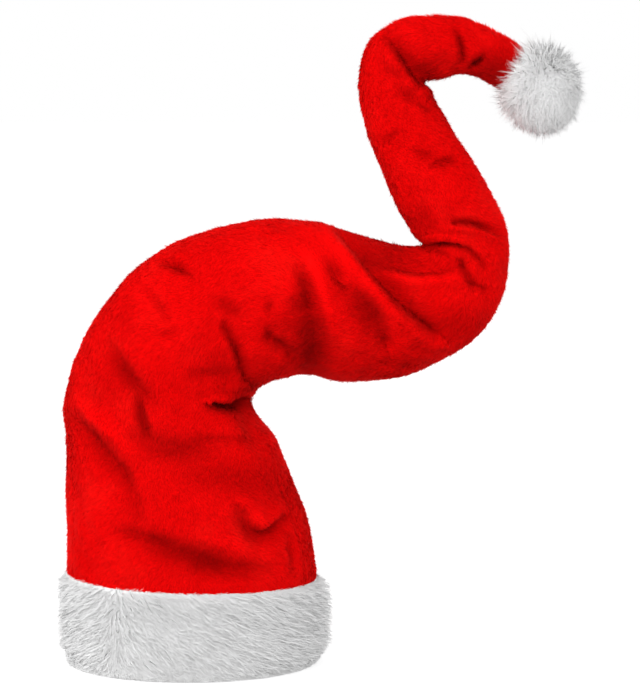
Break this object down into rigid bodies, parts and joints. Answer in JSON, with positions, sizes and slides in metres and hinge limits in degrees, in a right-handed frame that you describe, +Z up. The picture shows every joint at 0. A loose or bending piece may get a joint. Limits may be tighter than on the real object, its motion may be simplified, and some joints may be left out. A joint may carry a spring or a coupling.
{
  "type": "santa hat",
  "caption": "Long red plush santa hat standing on its white fur band, its tail bent into an S with a white fur pompom at the tip.",
  "frame": {"origin": "bottom centre of the hat's bounding box; the head's axis stands 0.106 m to its left", "axes": "+Z up along the head's axis, +X to the right, towards the pompom, -Y to the front"},
  "size_m": [0.4382, 0.1884, 0.5397],
  "materials": {
    "plush": "short red pile",
    "fur": "long white pile"
  },
  "bodies": {
    "root": {"crown": "plush", "brim": "fur", "pompom": "fur"}
  },
  "joints": []
}
